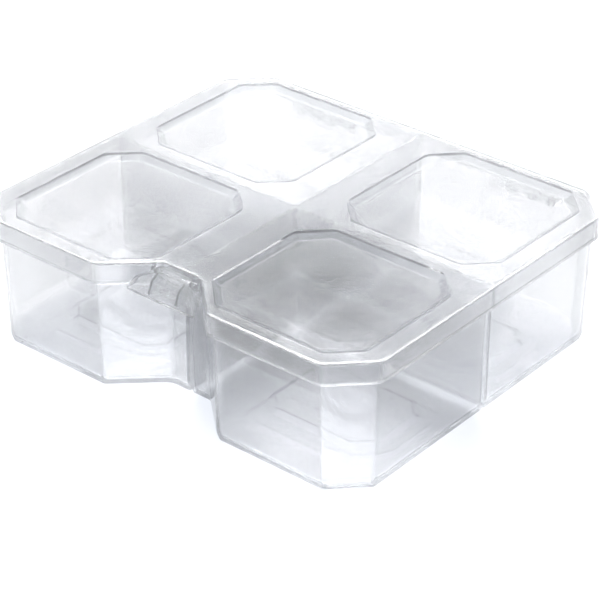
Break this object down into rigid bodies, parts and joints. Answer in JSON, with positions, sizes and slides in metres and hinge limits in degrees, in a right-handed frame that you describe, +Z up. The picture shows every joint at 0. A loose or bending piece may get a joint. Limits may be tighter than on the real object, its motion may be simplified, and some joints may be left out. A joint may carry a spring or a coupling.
{
  "type": "fishing tackle box",
  "caption": "Clear plastic tackle box with crossed dividers, a hinged lid with sunk windows, and a pinned latch in a front finger notch.",
  "frame": {"origin": "centre of the closed box's plan outline, at the plane its feet stand on", "axes": "+Z up, -Y towards the finger notch and latch, +Y towards the hinges, +X to the right seen from the notch side"},
  "size_m": [0.2, 0.1732, 0.0584],
  "materials": {
    "tub_plastic": "clear glossy polystyrene",
    "lid_plastic": "clear glossy polystyrene",
    "latch_plastic": "clear glossy polystyrene",
    "pin_plastic": "clear glossy plastic"
  },
  "bodies": {
    "tub": {"tub": "tub_plastic", "left_hinge_pin": "pin_plastic", "right_hinge_pin": "pin_plastic"},
    "lid": {"lid": "lid_plastic", "latch_pin": "pin_plastic"},
    "latch": {"front_latch": "latch_plastic"}
  },
  "joints": [
    {"name": "lid_hinge", "type": "hinge", "parent": "tub", "child": "lid", "pos_m": [0, 0.085, 0.0474], "axis": [-1, 0, 0], "range_deg": [0, 115]},
    {"name": "latch_hinge", "type": "hinge", "parent": "lid", "child": "latch", "pos_m": [0, -0.0714, 0.0563], "axis": [-1, 0, 0], "range_deg": [0, 70]}
  ]
}
